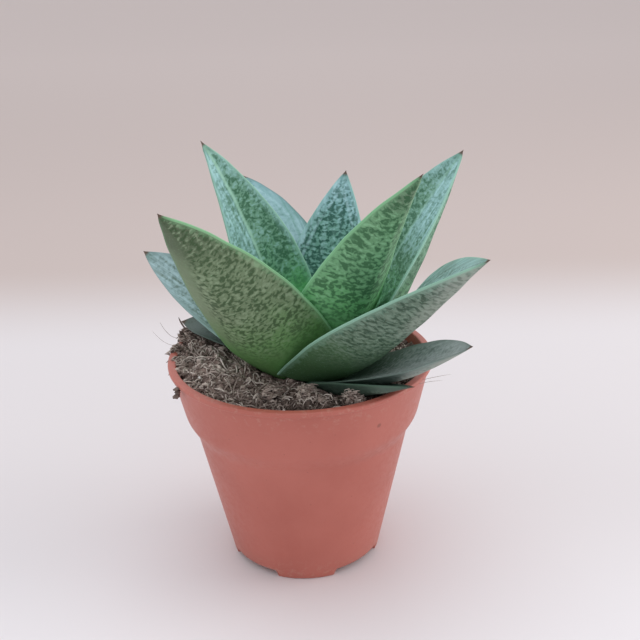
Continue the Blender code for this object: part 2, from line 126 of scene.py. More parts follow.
# Leaf skins, as sRGB.  The back and the face each have a colour near the root, in the
# middle and towards the tip, and one for the dark marks.  "wax" is the pale bloom on the face,
# and how strong it is to the left of the fold, to the right of it and along the edges; the
# half that faces the sky is given more, as painted sky reflection over the real bloom.
# "line" is how strong the pale line is on the left and on the right edge.  "bare" is how
# far the marks keep from each edge, in millimetres.  "fold" and "rib" are how strong the pale
# line is along the fold and 2 mm inside the edges.  The wax starts at the share "wax_from" of the
# leaf's length and is full at "wax_full".  The next value is how pale and grey the right half of the
# back is made, a painted sheen of light on its rounded side, and the last one how dark the skin
# is made near the root, a painted shade of the neighbouring leaves.
# The bright fresh green near the root is partly the leaves' own colour and partly painted glow of light
# shining through the leaves.
OLIVE = ((104, 158, 88), (115, 134, 102), (82, 96, 72), (58, 82, 50))
SAGE = ((134, 220, 138), (120, 172, 126), (104, 128, 102), (46, 94, 58))
STEEL = ((80, 114, 74), (98, 120, 102), (124, 142, 134), (46, 72, 54))
TEAL = ((82, 166, 112), (96, 150, 130), (116, 164, 170), (30, 84, 70))
MOSS = ((106, 186, 114), (106, 152, 122), (110, 152, 134), (44, 96, 66))
GREY = ((60, 82, 70), (116, 134, 126), (158, 168, 164), (60, 78, 70))
ASH = ((60, 84, 70), (72, 92, 82), (134, 142, 137), (54, 74, 64))
# dark greens partly the old leaf's own dull colour and partly painted shade of the leaf above it
PAINTED_SHADE_GREEN = ((50, 70, 58), (58, 78, 66), (74, 92, 82), (40, 58, 48))
BLUE_WAX = (150, 192, 192)
CLEAR_WAX = (166, 204, 210)
GREY_WAX = (172, 182, 182)
DULL_WAX = (154, 180, 184)
# painted sheen: pale grey for light falling on the rounded right side of a leaf's back
PAINTED_SIDE_SHEEN = (158, 166, 154)
# painted shade near the roots, where the neighbouring leaves shade the skin
PAINTED_ROOT_SHADE = (40, 84, 46)
SKIN_FIELDS = ("back", "face", "wax", "edge", "wax_and_sky_left", "wax_and_sky_right", "wax_edge",
               "line_left", "line_right", "bare_left", "bare_right", "fold", "rib", "blotch", "cover",
               "wax_from", "wax_full", "painted_side_sheen", "painted_root_shade")
# for the leaves that leave their last four values out
SKIN_USUAL = {"wax_from": 0.05, "wax_full": 0.42, "painted_side_sheen": 0.0, "painted_root_shade": 0.0}
HIDDEN_SKIN = (MOSS, TEAL, BLUE_WAX, (144, 190, 164),
    0.5, 0.5, 0.2, 0.7, 0.7, 0.6, 0.6, 0.2, 0.0, 0.80, 0.50)
SKINS = {
    "leaf_front_left": (OLIVE, SAGE, BLUE_WAX, (142, 198, 146),
        0.3, 0.3, 0.2, 0.15, 0.9, 4.2, 0.4, 0.0, 0.0, 0.85, 0.50,
        0.05, 0.42, 0.0, 0.15),
    "leaf_front_right": (STEEL, STEEL, (144, 184, 178), (150, 196, 172),
        0.8, 0.8, 0.3, 0.9, 0.7, 0.5, 3.0, 0.0, 0.0, 0.80, 0.48,
        0.05, 0.42, 0.65, 0.35),
    "leaf_low_right": (GREY, GREY, GREY_WAX, (112, 130, 120),
        0.6, 0.6, 0.2, 0.5, 0.5, 1.5, 1.5, 0.1, 0.0, 0.45, 0.42,
        0.25, 0.60, 0.6, 0.3),
    # leaf_lowest_right lies under leaf_low_right: its skin is dark partly by its own colour and partly as
    # painted shade
    "leaf_lowest_right": (PAINTED_SHADE_GREEN, PAINTED_SHADE_GREEN, (62, 84, 74), (78, 106, 88),
        0.3, 0.3, 0.0, 0.6, 0.6, 1.5, 1.5, 0.0, 0.0, 0.45, 0.42),
    "leaf_inner_right": (SAGE, MOSS, BLUE_WAX, (142, 200, 150),
        0.4, 0.4, 0.3, 0.9, 0.7, 0.4, 0.4, 0.0, 0.0, 0.74, 0.53),
    "leaf_tall_right": (MOSS, MOSS, BLUE_WAX, (164, 210, 190),
        0.95, 0.15, 0.7, 0.9, 0.5, 0.5, 0.5, 0.35, 0.0, 0.80, 0.50,
        0.42, 0.67, 0.0, 0.45),
    "leaf_back_left": (MOSS, TEAL, (140, 176, 180), (84, 120, 118),
        0.95, 0.95, 0.2, 0.7, 0.7, 2.5, 2.5, 0.0, 0.6, 0.45, 0.42),
    "leaf_tall_left": (MOSS, MOSS, BLUE_WAX, (164, 208, 184),
        0.12, 0.95, 0.6, 0.9, 0.4, 0.5, 0.8, 0.7, 0.0, 0.85, 0.52),
    "leaf_back": (TEAL, TEAL, CLEAR_WAX, (150, 198, 186),
        0.25, 0.25, 0.95, 0.8, 0.3, 0.6, 0.9, 0.15, 0.5, 1.0, 0.54),
    "leaf_outer_left": (MOSS, STEEL, DULL_WAX, (152, 176, 180),
        0.85, 0.85, 0.2, 0.5, 0.5, 1.0, 1.0, 0.2, 0.2, 0.55, 0.48,
        0.20, 0.70, 0.0, 0.0),
    "leaf_low_left": (ASH, ASH, (96, 108, 108), (92, 104, 98),
        0.2, 0.2, 0.0, 0.4, 0.4, 1.5, 1.5, 0.0, 0.0, 0.40, 0.40),
    "leaf_hidden_right": HIDDEN_SKIN,
    "leaf_hidden_left": HIDDEN_SKIN,
    "leaf_heart": (SAGE, MOSS, BLUE_WAX, (144, 194, 144),
        0.3, 0.3, 0.2, 0.7, 0.7, 0.4, 0.4, 0.0, 0.0, 0.80, 0.45),
}
MUCRO_COLOUR = (96, 78, 66)
MARKS_PER_MM = 1.22
EDGE_LINE = 0.22
EDGE_BAND = 1.0
RIB_INSET = 2.0
OTHER_HALF = 50.0

# ---------------------------------------------------------------- pot, as in the CAD
# LIP_EXTRA and COLLAR_EXTRA are how much fuller the lip and the top of the collar are than there.
BASE_RADIUS = 16.4
BODY_TOP_RADIUS = 22.8
BODY_TOP_Z = 30.2
COLLAR_BOTTOM_RADIUS = 24.8
COLLAR_BOTTOM_Z = 33.6
WALL = 0.9
LIP_HEIGHT = 1.3
LIP_STEP = 0.35
COLLAR_SLOPE = (RIM_RADIUS - LIP_STEP - COLLAR_BOTTOM_RADIUS) / (POT_HEIGHT - COLLAR_BOTTOM_Z)
BODY_SLOPE = (BODY_TOP_RADIUS - BASE_RADIUS) / BODY_TOP_Z
LIP_EXTRA = 0.4
COLLAR_EXTRA = 0.3
FLOOR_UNDERSIDE_Z = 1.8
FLOOR_TOP_Z = 2.8
FOOT_FLAT_WIDTH = 1.3
NOTCH_ANGLES = (45.0, 135.0, 225.0, 315.0)
NOTCH_WIDTH = 13.0
NOTCH_HEIGHT = 1.4
NOTCH_SIDE = 0.25
FOOT_BAND = 1.8
DRAIN_RADIUS = 1.8
DRAIN_CIRCLE_RADIUS = 10.5
POT_SEGMENTS = 288
POT_COLOUR = (183, 101, 87)
DIMPLE = np.array([15.2, -20.9, 39.0])

# ---------------------------------------------------------------- soil
SOIL_LEVEL = 43.0
SOIL_HEAPS = (
    (-21.5, 9.5, 8.0, 4.2),
    (-20.0, -6.0, 9.0, 1.6),
    (-9.0, -16.0, 7.0, -0.5),
    (6.0, -20.0, 6.0, 0.7),
    (17.0, 14.0, 9.0, 0.6),
    (-6.0, 19.0, 8.0, -0.5),
)
# waves of the surface: how close, how high, seed, and whether they fold into sharp cracks
SOIL_WAVES = (
    (0.42, 1.1, 5.2, False),
    (1.1, 0.8, 9.1, False),
    (1.7, -0.8, 3.3, True),
    (3.4, 0.35, 7.9, False),
)
SOIL_RINGS = 130
SOIL_SEGMENTS = 360
SOIL_GAP = 0.12
SOIL_AT_WALL = 45.4
SOIL_WALL_SLOPE = 0.9
SOIL_LOWEST_TOP = 36.5
SOIL_MIDDLE_Z = 41.0
COLLAR_MIDDLE_Z = 39.0
# dry, paler peat: middle and spread; darker peat beside the wall at the front right: painted shade of the
# wall
DRY_MIDDLE = (-15.0, -3.0)
DRY_SPREAD = 110.0
DRY_PALER = 0.24
WALL_SHADE_DARKER = 0.50
# colours of the peat in each piece: dark, middle and pale
BED_PEAT = ((74, 62, 56), (146, 127, 118), (184, 167, 156))
FIBRE_PEAT = ((100, 86, 79), (174, 157, 148), (222, 209, 199))
CRUMB_PEAT = ((84, 70, 64), (160, 142, 133), (210, 195, 184))
MOUND_PEAT = ((80, 67, 61), (150, 132, 123), (204, 189, 178))
STRAY_PEAT = ((62, 50, 45), (128, 112, 104), (186, 172, 162))
# kinds of fibre: how many, shortest, longest, thinnest, thickest, curl and lift
FIBRE_KINDS = (
    (2000, 0.9, 2.4, 0.06, 0.13, 0.60, 0.6),
    (800, 2.4, 4.5, 0.08, 0.17, 0.40, 0.9),
    (130, 4.5, 8.0, 0.13, 0.24, 0.22, 1.1),
)
# kinds of crumb: name, how many, smallest, largest, fineness of the ball
CRUMB_KINDS = (
    ("peat_lumps", 520, 0.35, 0.80, 2),
    ("peat_grains", 3000, 0.13, 0.40, 1),
)
# mounds of lumps and fibres: middle, spread, height, lumps, fibres, paleness
MOUNDS = (
    ((1.6, -15.8, 43.4), 2.1, 1.9, 90, 60, 0.40),
    ((10.6, -19.7, 43.3), 2.0, 3.2, 130, 80, 0.30),
    ((-5.6, -14.6, 43.4), 1.8, 1.4, 70, 50, 0.25),
    ((-24.3, 9.6, 45.1), 3.3, 2.7, 190, 60, 0.1),
    ((-26.2, 3.6, 44.9), 2.1, 1.5, 80, 25, 0.1),
    ((-22.4, 14.6, 45.0), 2.7, 2.7, 120, 30, 0.0),
    ((-24.4, 7.0, 44.3), 2.2, 1.9, 90, 20, 0.1),
    ((-25.9, -1.6, 44.6), 1.7, 1.0, 60, 20, 0.2),
    ((-25.0, -6.2, 44.4), 1.7, 0.9, 60, 20, 0.2),
    ((-22.8, -11.4, 44.2), 1.6, 0.7, 50, 15, 0.1),
)
MOUND_REACH = 0.5
GRIT = ((-10.1, -21.2), (-8.3, -14.7), (14.0, -20.2), (-3.0, -22.6), (-20.5, -9.0))
COLLAR_CRUMBS = ((-24.5, -13.7, 44.5), (-24.4, -13.5, 43.7), (-24.6, -13.7, 42.9))
COLLAR_CRUMB_SIZE = 0.7
# fine hairs and a dried root that stick out over the rim: three points of each, and its radius
HAIRS = (
    ((-26.0, 8.5, 46.3), (-28.8, 10.0, 44.6), (-30.9, 10.5, 49.2), 0.05),
    ((-26.4, 6.0, 45.8), (-29.2, 8.0, 43.6), (-32.6, 9.5, 47.6), 0.04),
    ((20.5, -15.0, 44.4), (24.3, -13.3, 45.1), (30.4, -12.2, 45.4), 0.05),
    ((21.0, -15.8, 44.2), (24.6, -13.9, 44.9), (28.4, -13.6, 44.7), 0.04),
    ((-24.4, 10.3, 46.4), (-26.2, 11.4, 47.6), (-26.9, 12.0, 49.6), 0.2),
)


def srgb(colour, alpha=1.0):
    """An sRGB colour from 0 to 255 as the linear values that shaders use."""
    linear = []
    for channel in colour:
        c = channel / 255.0
        linear.append(c / 12.92 if c <= 0.04045 else ((c + 0.055) / 1.055) ** 2.4)
    return (*linear, alpha)


def brighter(colour, amount):
    """The sRGB colour with each channel raised, or lowered by a negative amount."""
    return tuple(min(255, max(0, channel + amount)) for channel in colour)


def put_in_scene(name, data):
    """A new object with that data, linked into the scene."""
    thing = bpy.data.objects.new(name, data)
    bpy.context.scene.collection.objects.link(thing)
    return thing


def make_piece(name, points, faces, material):
    """A mesh piece from millimetre points, riding on the object's only body."""
    mesh = bpy.data.meshes.new(name)
    metres = (np.asarray(points, dtype=float) + AXIS) * MM
    mesh.from_pydata(metres.tolist(), [], faces)
    mesh.update()
    mesh.shade_smooth()
    mesh.materials.append(material)
    piece = put_in_scene(name, mesh)
    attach(piece, "root")
    return piece


def add_attribute(mesh, name, values):
    """A named value, or three, for each point of a mesh, which its material reads."""
    values = np.asarray(values, dtype=np.float32)
    kind = "FLOAT" if values.ndim == 1 else "FLOAT_VECTOR"
    layer = mesh.attributes.new(name, kind, "POINT")
    layer.data.foreach_set("value" if values.ndim == 1 else "vector", values.ravel())


# ================================================================ materials
class Skin:
    """A Principled material, with short ways to add nodes to it."""

    def __init__(self, name, roughness=0.5, **constants):
        self.material = bpy.data.materials.new(name)
        self.material.use_nodes = True
        self.nodes = self.material.node_tree.nodes
        self.links = self.material.node_tree.links
        self.shader = self.nodes["Principled BSDF"]
        self.shader.inputs["Roughness"].default_value = roughness
        for key, value in constants.items():
            self.shader.inputs[key.replace("_", " ")].default_value = value

    def feed(self, socket, value):
        """Give a socket a constant, or a link from another node."""
        if isinstance(value, bpy.types.NodeSocket):
            self.links.new(value, socket)
        else:
            socket.default_value = value

    def add(self, kind, inputs=None, **settings):
        """A new node with its settings and inputs."""
        node = self.nodes.new(kind)
        for key, value in settings.items():
            setattr(node, key, value)
        for key, value in (inputs or {}).items():
            self.feed(node.inputs[key], value)
        return node

    def math(self, operation, a, b=0.0):
        return self.add("ShaderNodeMath", {0: a, 1: b}, operation=operation).outputs[0]

    def times(self, a, b):
        return self.math("MULTIPLY", a, b)

    def scaled(self, value, factor, offset):
        """The value times a factor, plus an offset."""
        inputs = {0: value, 1: factor, 2: offset}
        return self.add("ShaderNodeMath", inputs, operation="MULTIPLY_ADD").outputs[0]

    def mix(self, share, a, b):
        """Colour a turning into colour b; either may be an sRGB colour."""
        a, b = (srgb(colour) if isinstance(colour, tuple) else colour for colour in (a, b))
        return self.add("ShaderNodeMix", {0: share, 6: a, 7: b}, data_type="RGBA").outputs[2]

    def step(self, value, low, high, to_low=0.0, to_high=1.0):
        """A smooth step from to_low to to_high as the value goes from low to high."""
        inputs = {0: value, 1: low, 2: high, 3: to_low, 4: to_high}
        return self.add("ShaderNodeMapRange", inputs, interpolation_type="SMOOTHSTEP").outputs[0]

    def noise(self, place, scale, detail=2.0, roughness=0.5, distortion=0.0, output="Fac"):
        inputs = {"Vector": place, "Scale": scale, "Detail": detail, "Roughness": roughness,
                  "Distortion": distortion}
        return self.add("ShaderNodeTexNoise", inputs).outputs[output]

    def cells(self, place, scale):
        """Distance to the nearest of the scattered points."""
        inputs = {"Vector": place, "Scale": scale}
        return self.add("ShaderNodeTexVoronoi", inputs, feature="F1").outputs[0]

    def attribute(self, name):
        return self.add("ShaderNodeAttribute", attribute_name=name)

    def parts(self, vector):
        """The x, y and z of a vector."""
        return self.add("ShaderNodeSeparateXYZ", {0: vector}).outputs

    def stretched(self, place, scale):
        return self.add("ShaderNodeMapping", {"Vector": place, "Scale": scale}).outputs[0]

    def vector(self, operation, inputs, output=0):
        return self.add("ShaderNodeVectorMath", inputs, operation=operation).outputs[output]

    def warped(self, place, scale, amount):
        """The place moved about by a slow noise."""
        push = self.noise(place, scale, output="Color")
        centred = self.vector("SUBTRACT", {0: push, 1: (0.5, 0.5, 0.5)})
        scaled = self.vector("SCALE", {0: centred, "Scale": amount})
        return self.vector("ADD", {0: place, 1: scaled})

    def place_mm(self):
        """The point in millimetres."""
        place = self.add("ShaderNodeTexCoord").outputs["Object"]
        return self.stretched(place, (1.0 / MM, 1.0 / MM, 1.0 / MM))

    def finish(self, colour, roughness=None, height=None, depth=0.1, strength=1.0):
        """Wire the colour, the roughness and a relief of that depth in millimetres."""
        self.feed(self.shader.inputs["Base Color"], colour)
        if roughness is not None:
            self.feed(self.shader.inputs["Roughness"], roughness)
        if height is not None:
            inputs = {"Height": height, "Distance": depth * MM, "Strength": strength}
            bump = self.add("ShaderNodeBump", inputs)
            self.feed(self.shader.inputs["Normal"], bump.outputs[0])
        return self.material


def leaf_ground(skin, colours, along):
    """Ground colour of one side of a leaf, from its root to its tip."""
    root, middle, tip, _ = colours
    colour = skin.mix(skin.step(along, 0.08, 0.50), root, middle)
    return skin.mix(skin.step(along, 0.60, 1.0), colour, tip)


def leaf_marks(skin, place, look, share, across, edge_mm):
    """Where the dark, worm-like marks lie, in rows across the leaf, and the pale ones between."""
    bent = skin.warped(place, 0.8, 0.8)
    rows = skin.stretched(bent, (0.92, 1.14, 1.0))
    worms = skin.noise(rows, MARKS_PER_MM, 1.2, 0.45, distortion=0.35)
    patches = skin.noise(place, 0.22, 1.5)
    level = skin.math("ADD", worms, skin.scaled(patches, 0.30, -0.15))
    dark = skin.step(level, 0.96 - look["cover"], 1.12 - look["cover"])
    pale = skin.step(level, 0.94 - look["cover"], 0.80 - look["cover"])
    halves = []
    for turn, bare in ((0.4, look["bare_left"]), (-0.4, look["bare_right"])):
        from_edge = skin.math("ADD", edge_mm, skin.step(across, -turn, turn, 0.0, OTHER_HALF))
        halves.append(skin.step(from_edge, 0.45 * bare, bare))
    clear = skin.times(halves[0], halves[1])
    clear = skin.times(clear, skin.step(share, 0.08, 0.38))
    return skin.times(dark, clear), skin.times(pale, clear)


def leaf_material(name, number):
    """Mottled, waxy leaf skin with a pale edge and a brown point."""
    look = {**SKIN_USUAL, **dict(zip(SKIN_FIELDS, SKINS[name]))}
    skin = Skin(name + "_skin", Specular_IOR_Level=0.3)
    across, along_mm, side = skin.parts(skin.attribute("leaf_place").outputs["Vector"])[:3]
    edge_mm, tip_mm, ridge_mm = skin.parts(skin.attribute("leaf_edge").outputs["Vector"])[:3]
    share = skin.attribute("leaf_share").outputs["Fac"]
    place = skin.add("ShaderNodeCombineXYZ", {0: across, 1: along_mm, 2: 7.3 * number}).outputs[0]

    # ground colours of the back and of the face, with a slow drift
    drift = skin.noise(place, 0.14, 1.0)
    along = skin.math("ADD", share, skin.scaled(drift, 0.30, -0.15))
    back = leaf_ground(skin, look["back"], along)
    face = leaf_ground(skin, look["face"], along)

    # pale wax on the face, by halves and along the edges, thin near the root; the half that faces the sky
    # gets more, as painted sky reflection
    bloom = skin.noise(place, 0.9, 3.0, 0.6, distortion=0.5)
    ragged = skin.math("ADD", edge_mm, skin.scaled(bloom, 3.0, -1.5))
    # painted sky reflection: more pale wax on the half of the face that faces the sky
    half = skin.step(across, -0.35, 0.35, look["wax_and_sky_left"], look["wax_and_sky_right"])
    hem = skin.math("MAXIMUM", skin.step(ragged, 2.2, 0.6), skin.step(share, 0.70, 0.95))
    wax = skin.math("MAXIMUM", half, skin.times(hem, look["wax_edge"]))
    streaks = skin.noise(skin.stretched(place, (1.5, 0.11, 1.0)), 1.0, 1.0)
    wax = skin.times(wax, skin.step(bloom, 0.25, 0.62, 0.62, 1.0))
    wax = skin.times(wax, skin.step(streaks, 0.34, 0.52, 0.55, 1.0))
    wax = skin.times(wax, skin.step(share, look["wax_from"], look["wax_full"]))
    face = skin.mix(wax, face, look["wax"])
    ray = skin.times(skin.step(streaks, 0.53, 0.68, 0.0, 0.7), wax)
    face = skin.mix(ray, face, brighter(look["wax"], 26))

    # the dark marks show fully on the back, and faintly through the wax; pale ones between
    dark, pale = leaf_marks(skin, place, look, share, across, edge_mm)
    on_back = skin.times(dark, look["blotch"])
    on_face = skin.times(on_back, skin.scaled(wax, -0.62, 1.0))
    back = skin.mix(skin.times(pale, 0.55), back, brighter(look["back"][1], 34))
    face = skin.mix(skin.times(pale, 0.45), face, brighter(look["wax"], 14))
    # painted sheen: the right part of the back is paled and greyed, and its marks faded, for light on its
    # rounded side
    side_sheen = skin.times(skin.step(across, -5.0, -2.0), skin.step(share, 0.40, 0.60))
    side_sheen = skin.times(side_sheen, look["painted_side_sheen"])
    back = skin.mix(side_sheen, back, PAINTED_SIDE_SHEEN)
    on_back = skin.times(on_back, skin.scaled(side_sheen, -0.70, 1.0))
    back = skin.mix(on_back, back, look["back"][3])
    face = skin.mix(on_face, face, look["face"][3])
    colour = skin.mix(side, face, back)
    # painted shade: the skin is darkened near the root, where the neighbouring leaves shade it
    shade = skin.step(share, look["wax_full"], look["wax_from"], 0.0, look["painted_root_shade"])
    colour = skin.mix(shade, colour, PAINTED_ROOT_SHADE)

    # fine pale specks, pale fold, ribs and edge, brown point
    flecks = skin.noise(place, 3.4, 2.0, 0.6)
    colour = skin.mix(skin.step(flecks, 0.60, 0.72, 0.0, 0.30), colour, brighter(look["edge"], 16))
    fold = skin.step(ridge_mm, 0.6, 0.1, 0.0, look["fold"])
    fold = skin.times(fold, skin.scaled(side, -1.0, 1.0))
    colour = skin.mix(skin.times(fold, skin.step(share, 0.1, 0.4)), colour, look["edge"])
    off_rib = skin.math("ABSOLUTE", skin.math("SUBTRACT", edge_mm, RIB_INSET))
    rib = skin.times(skin.step(off_rib, 0.55, 0.1), look["rib"])
    colour = skin.mix(skin.times(rib, skin.step(bloom, 0.3, 0.6)), colour, brighter(look["wax"], 24))
    band = skin.step(ragged, EDGE_BAND, 0.3, 0.0, 0.26)
    line = skin.step(edge_mm, EDGE_LINE, 0.5 * EDGE_LINE, 0.0, 0.9)
    strength = skin.step(across, -0.4, 0.4, look["line_left"], look["line_right"])
    hem_line = skin.times(skin.math("MAXIMUM", band, line), strength)
    colour = skin.mix(hem_line, colour, look["edge"])
    colour = skin.mix(skin.step(tip_mm, 4.0, 1.2, 0.0, 0.35), colour, look["back"][3])
    colour = skin.mix(skin.step(tip_mm, 1.5, 0.7), colour, MUCRO_COLOUR)

    # relief: the dark marks lie a little lower, between fine pores
    pores = skin.noise(place, 4.5, 2.0)
    height = skin.math("SUBTRACT", skin.scaled(pores, 0.4, 0.0), skin.scaled(dark, 0.35, 0.0))
    roughness = skin.step(bloom, 0.3, 0.7, 0.56, 0.68)
    return skin.finish(colour, roughness, height, depth=0.035, strength=0.7)


def pot_material():
    """Satin terracotta-coloured plastic, a little dusty and scuffed."""
    skin = Skin("pot_plastic", Specular_IOR_Level=0.5)
    place = skin.place_mm()
    height_mm = skin.parts(place)[2]
    cloud = skin.noise(place, 0.06, 3.0)
    streak = skin.noise(skin.stretched(place, (0.5, 0.5, 0.035)), 0.9, 2.0)
    grain = skin.noise(place, 2.4, 2.0)
    light = brighter(POT_COLOUR, 5)
    deep = brighter(POT_COLOUR, -5)
    colour = skin.mix(skin.step(cloud, 0.25, 0.75), deep, light)
    colour = skin.mix(skin.step(streak, 0.45, 0.75, 0.0, 0.15), colour, light)
    dust = skin.noise(place, 0.9, 4.0, 0.65)
    low = skin.times(skin.step(height_mm, 7.0, 0.5), skin.step(dust, 0.45, 0.7, 0.0, 0.35))
    high = skin.times(skin.step(height_mm, 38.0, 45.0), skin.step(dust, 0.5, 0.7, 0.0, 0.3))
    colour = skin.mix(skin.math("MAXIMUM", low, high), colour, (196, 158, 142))
    speck = skin.step(skin.cells(place, 0.42), 0.075, 0.045, 0.0, 0.35)
    dimple = skin.vector("DISTANCE", {0: place, 1: DIMPLE + AXIS}, "Value")
    speck = skin.math("MAXIMUM", speck, skin.step(dimple, 0.7, 0.3, 0.0, 0.6))
    colour = skin.mix(speck, colour, (122, 66, 54))
    roughness = skin.step(dust, 0.3, 0.75, 0.36, 0.52)
    return skin.finish(colour, roughness, grain, depth=0.012)


def soil_material(name, dark, middle, pale):
    """Peat in three tones; each fibre or crumb has a tone of its own."""
    skin = Skin(name, roughness=0.95, Specular_IOR_Level=0.2)
    place = skin.place_mm()
    tone = skin.attribute("tone").outputs["Fac"]
    grit = skin.noise(place, 1.3, 4.0, 0.7)
    value = skin.math("ADD", tone, skin.times(skin.math("SUBTRACT", grit, 0.5), 0.5))
    colour = skin.mix(skin.step(value, 0.05, 0.5), dark, middle)
    colour = skin.mix(skin.step(value, 0.5, 1.0), colour, pale)
    fine = skin.noise(place, 5.0, 3.0, 0.7)
    return skin.finish(colour, None, fine, depth=0.12)


def stem_material():
    """Pale green stem, browner in random patches."""
    skin = Skin("stem_skin", roughness=0.6)
    place = skin.place_mm()
    cloud = skin.noise(place, 0.7, 3.0)
    colour = skin.mix(skin.step(cloud, 0.35, 0.65), (96, 84, 58), (118, 140, 88))
    fine = skin.noise(place, 3.0, 3.0)
    return skin.finish(colour, None, fine, depth=0.15)


# ================================================================ leaves
def leaf_half_width(leaf, s):
    """Half of the leaf's width at the shares s of its length."""
    rise = np.sin(0.5 * math.pi * s / LEAF_WIDEST_AT)
    swelling = leaf["base"] + (1.0 - leaf["base"]) * rise
    taper = 1.0 - (np.maximum(s - LEAF_WIDEST_AT, 0.0) / (1.0 - LEAF_WIDEST_AT)) ** leaf["taper"]
    return 0.5 * leaf["width"] * np.where(s < LEAF_WIDEST_AT, swelling, taper)


def leaf_thickness(s, thickness):
    """The leaf's thickness at its keel at the shares s of its length."""
    rise = np.sin(0.5 * math.pi * s / LEAF_THICKEST_AT)
    swelling = LEAF_BASE_THICKNESS + (1.0 - LEAF_BASE_THICKNESS) * rise
    thinning = (np.maximum(s - LEAF_THICKEST_AT, 0.0) / (1.0 - LEAF_THICKEST_AT)) ** LEAF_THINNING_POWER
    return thickness * np.where(s < LEAF_THICKEST_AT, swelling, 1.0 - thinning)


def leaf_directions(leaf, s):
    """Directions along, across and out of the leaf's upper face at the shares s."""
    rise = np.radians(leaf["rise_0"] + (leaf["rise_1"] - leaf["rise_0"]) * s)
    azimuth = np.radians(leaf["azimuth"] + leaf["sweep"] * s * s)
    roll = np.radians(leaf["roll_0"] + (leaf["roll_1"] - leaf["roll_0"]) * s)
    flat = np.zeros_like(s)
    along = np.stack([np.cos(rise) * np.cos(azimuth), np.cos(rise) * np.sin(azimuth), np.sin(rise)], axis=1)
    level = np.stack([-np.sin(azimuth), np.cos(azimuth), flat], axis=1)
    upper = np.cross(along, level)
    across = level * np.cos(roll)[:, None] + upper * np.sin(roll)[:, None]
    out = upper * np.cos(roll)[:, None] - level * np.sin(roll)[:, None]
    return along, across, out


def leaf_centre(leaf, s):
    """Points of the leaf's centre line at the rising shares s, the first of them at or before the root."""
    fine = np.linspace(s[0], s[-1], 600)
    middle = 0.5 * (fine[1:] + fine[:-1])
    along, _, _ = leaf_directions(leaf, middle)
    steps = along * (leaf["length"] * (fine[1] - fine[0]))
    line = np.vstack([np.zeros(3), np.cumsum(steps, axis=0)])
    azimuth = math.radians(leaf["azimuth"])
    root = np.array([STEM_X + leaf["root_r"] * math.cos(azimuth),
                     STEM_Y + leaf["root_r"] * math.sin(azimuth), leaf["root_z"]])
    at_root = np.array([np.interp(0.0, fine, line[:, k]) for k in range(3)])
    line += root - at_root
    return np.stack([np.interp(s, fine, line[:, k]) for k in range(3)], axis=1)


def leaf_section(leaf, half, thick):
    """One ring of the leaf: rows of (across, out, side, distance to the ridge)."""
    edge = min(EDGE_THICKNESS, 0.5 * half, thick)
    keel = leaf["keel"]
    depth = leaf["channel"] * half
    u = np.sin(np.linspace(-0.5 * math.pi, 0.5 * math.pi, LEAF_FACE_POINTS))
    crease = 1.0 - np.sqrt(u * u + 0.003)
    hollow = (1.0 - LEAF_CREASE) * (1.0 - u * u) + LEAF_CREASE * crease
    face = np.stack([u * half, -depth * hollow, 0.0 * u, np.abs(u) * half], axis=1)
    reach = np.where(u > keel, 1.0 - keel, 1.0 + keel)
    bulge = 1.0 - (np.abs(u - keel) / reach) ** LEAF_KEEL_POWER
    back_out = -edge - (thick - edge) * bulge - LEAF_BACK_HOLLOW * depth * (1.0 - u * u)
    back = np.stack([u * half, back_out, 0.0 * u + 1.0, np.abs(u - keel) * half], axis=1)[::-1]
    angles = np.linspace(0.5 * math.pi, -0.5 * math.pi, EDGE_POINTS + 2)[1:-1]
    right = np.array([(half + 0.5 * edge * math.cos(a), 0.5 * edge * (math.sin(a) - 1.0), 0.5, half)
                      for a in angles])
    left = right[::-1] * np.array([-1.0, 1.0, 1.0, 1.0])
    return np.vstack([face, right, back, left])


def leaf_rings(leaf):
    """Points and surface values of the leaf's rings, from inside the stem to the point."""
    start = LEAF_START / leaf["length"]
    s = start + (1.0 - start) * np.linspace(0.0, 1.0, LEAF_RINGS) ** 0.93
    s = np.minimum(s, 1.0)
    centre = leaf_centre(leaf, s)
    _, across, out = leaf_directions(leaf, s)
    centre += across * (leaf["bend"] * np.maximum(s, 0.0) ** 2)[:, None]
    to_tip = leaf["length"] * (1.0 - s)
    point = MUCRO_RADIUS * np.sqrt(np.clip(to_tip / MUCRO_LENGTH, 0.0, 1.0))
    drawn_in = 1.0 - TIP_DRAWN_IN * np.exp(-to_tip / TIP_DRAWN_LENGTH)
    half = np.maximum(leaf_half_width(leaf, s) * drawn_in, point)
    thick = np.maximum(leaf_thickness(s, leaf["thickness"]), 2.0 * point)
    points = []
    values = []
    for k in range(LEAF_RINGS - 1):
        section = leaf_section(leaf, half[k], thick[k])
        ring = centre[k] + section[:, :1] * across[k] + section[:, 1:2] * out[k]
        points.append(ring)
        edge_mm = half[k] - np.abs(section[:, 0])
        rows = np.stack([section[:, 0], np.full(len(section), leaf["length"] * s[k]), section[:, 2],
                         np.maximum(edge_mm, 0.0), np.full(len(section), to_tip[k]), section[:, 3],
                         np.full(len(section), s[k])], axis=1)
        values.append(rows)
    return np.array(points), np.array(values), centre[-1]


def rings_to_mesh(rings, last, first=None):
    """Points and faces of a tube of rings, closed by a flat fan and by a last point."""
    count, size, _ = rings.shape
    points = rings.reshape(-1, 3)
    start = rings[0].mean(axis=0) if first is None else first
    points = np.vstack([points, start, last])
    faces = []
    for k in range(count - 1):
        low = k * size
        for j in range(size):
            after = (j + 1) % size
            faces.append((low + j, low + after, low + size + after, low + size + j))
    end = (count - 1) * size
    for j in range(size):
        after = (j + 1) % size
        faces.append((after, j, count * size))
        faces.append((end + j, end + after, count * size + 1))
    return points, faces


def wave(x, y, z):
    """Smooth noise, about -1 to 1, at a place."""
    return noise.noise(Vector((x, y, z)))


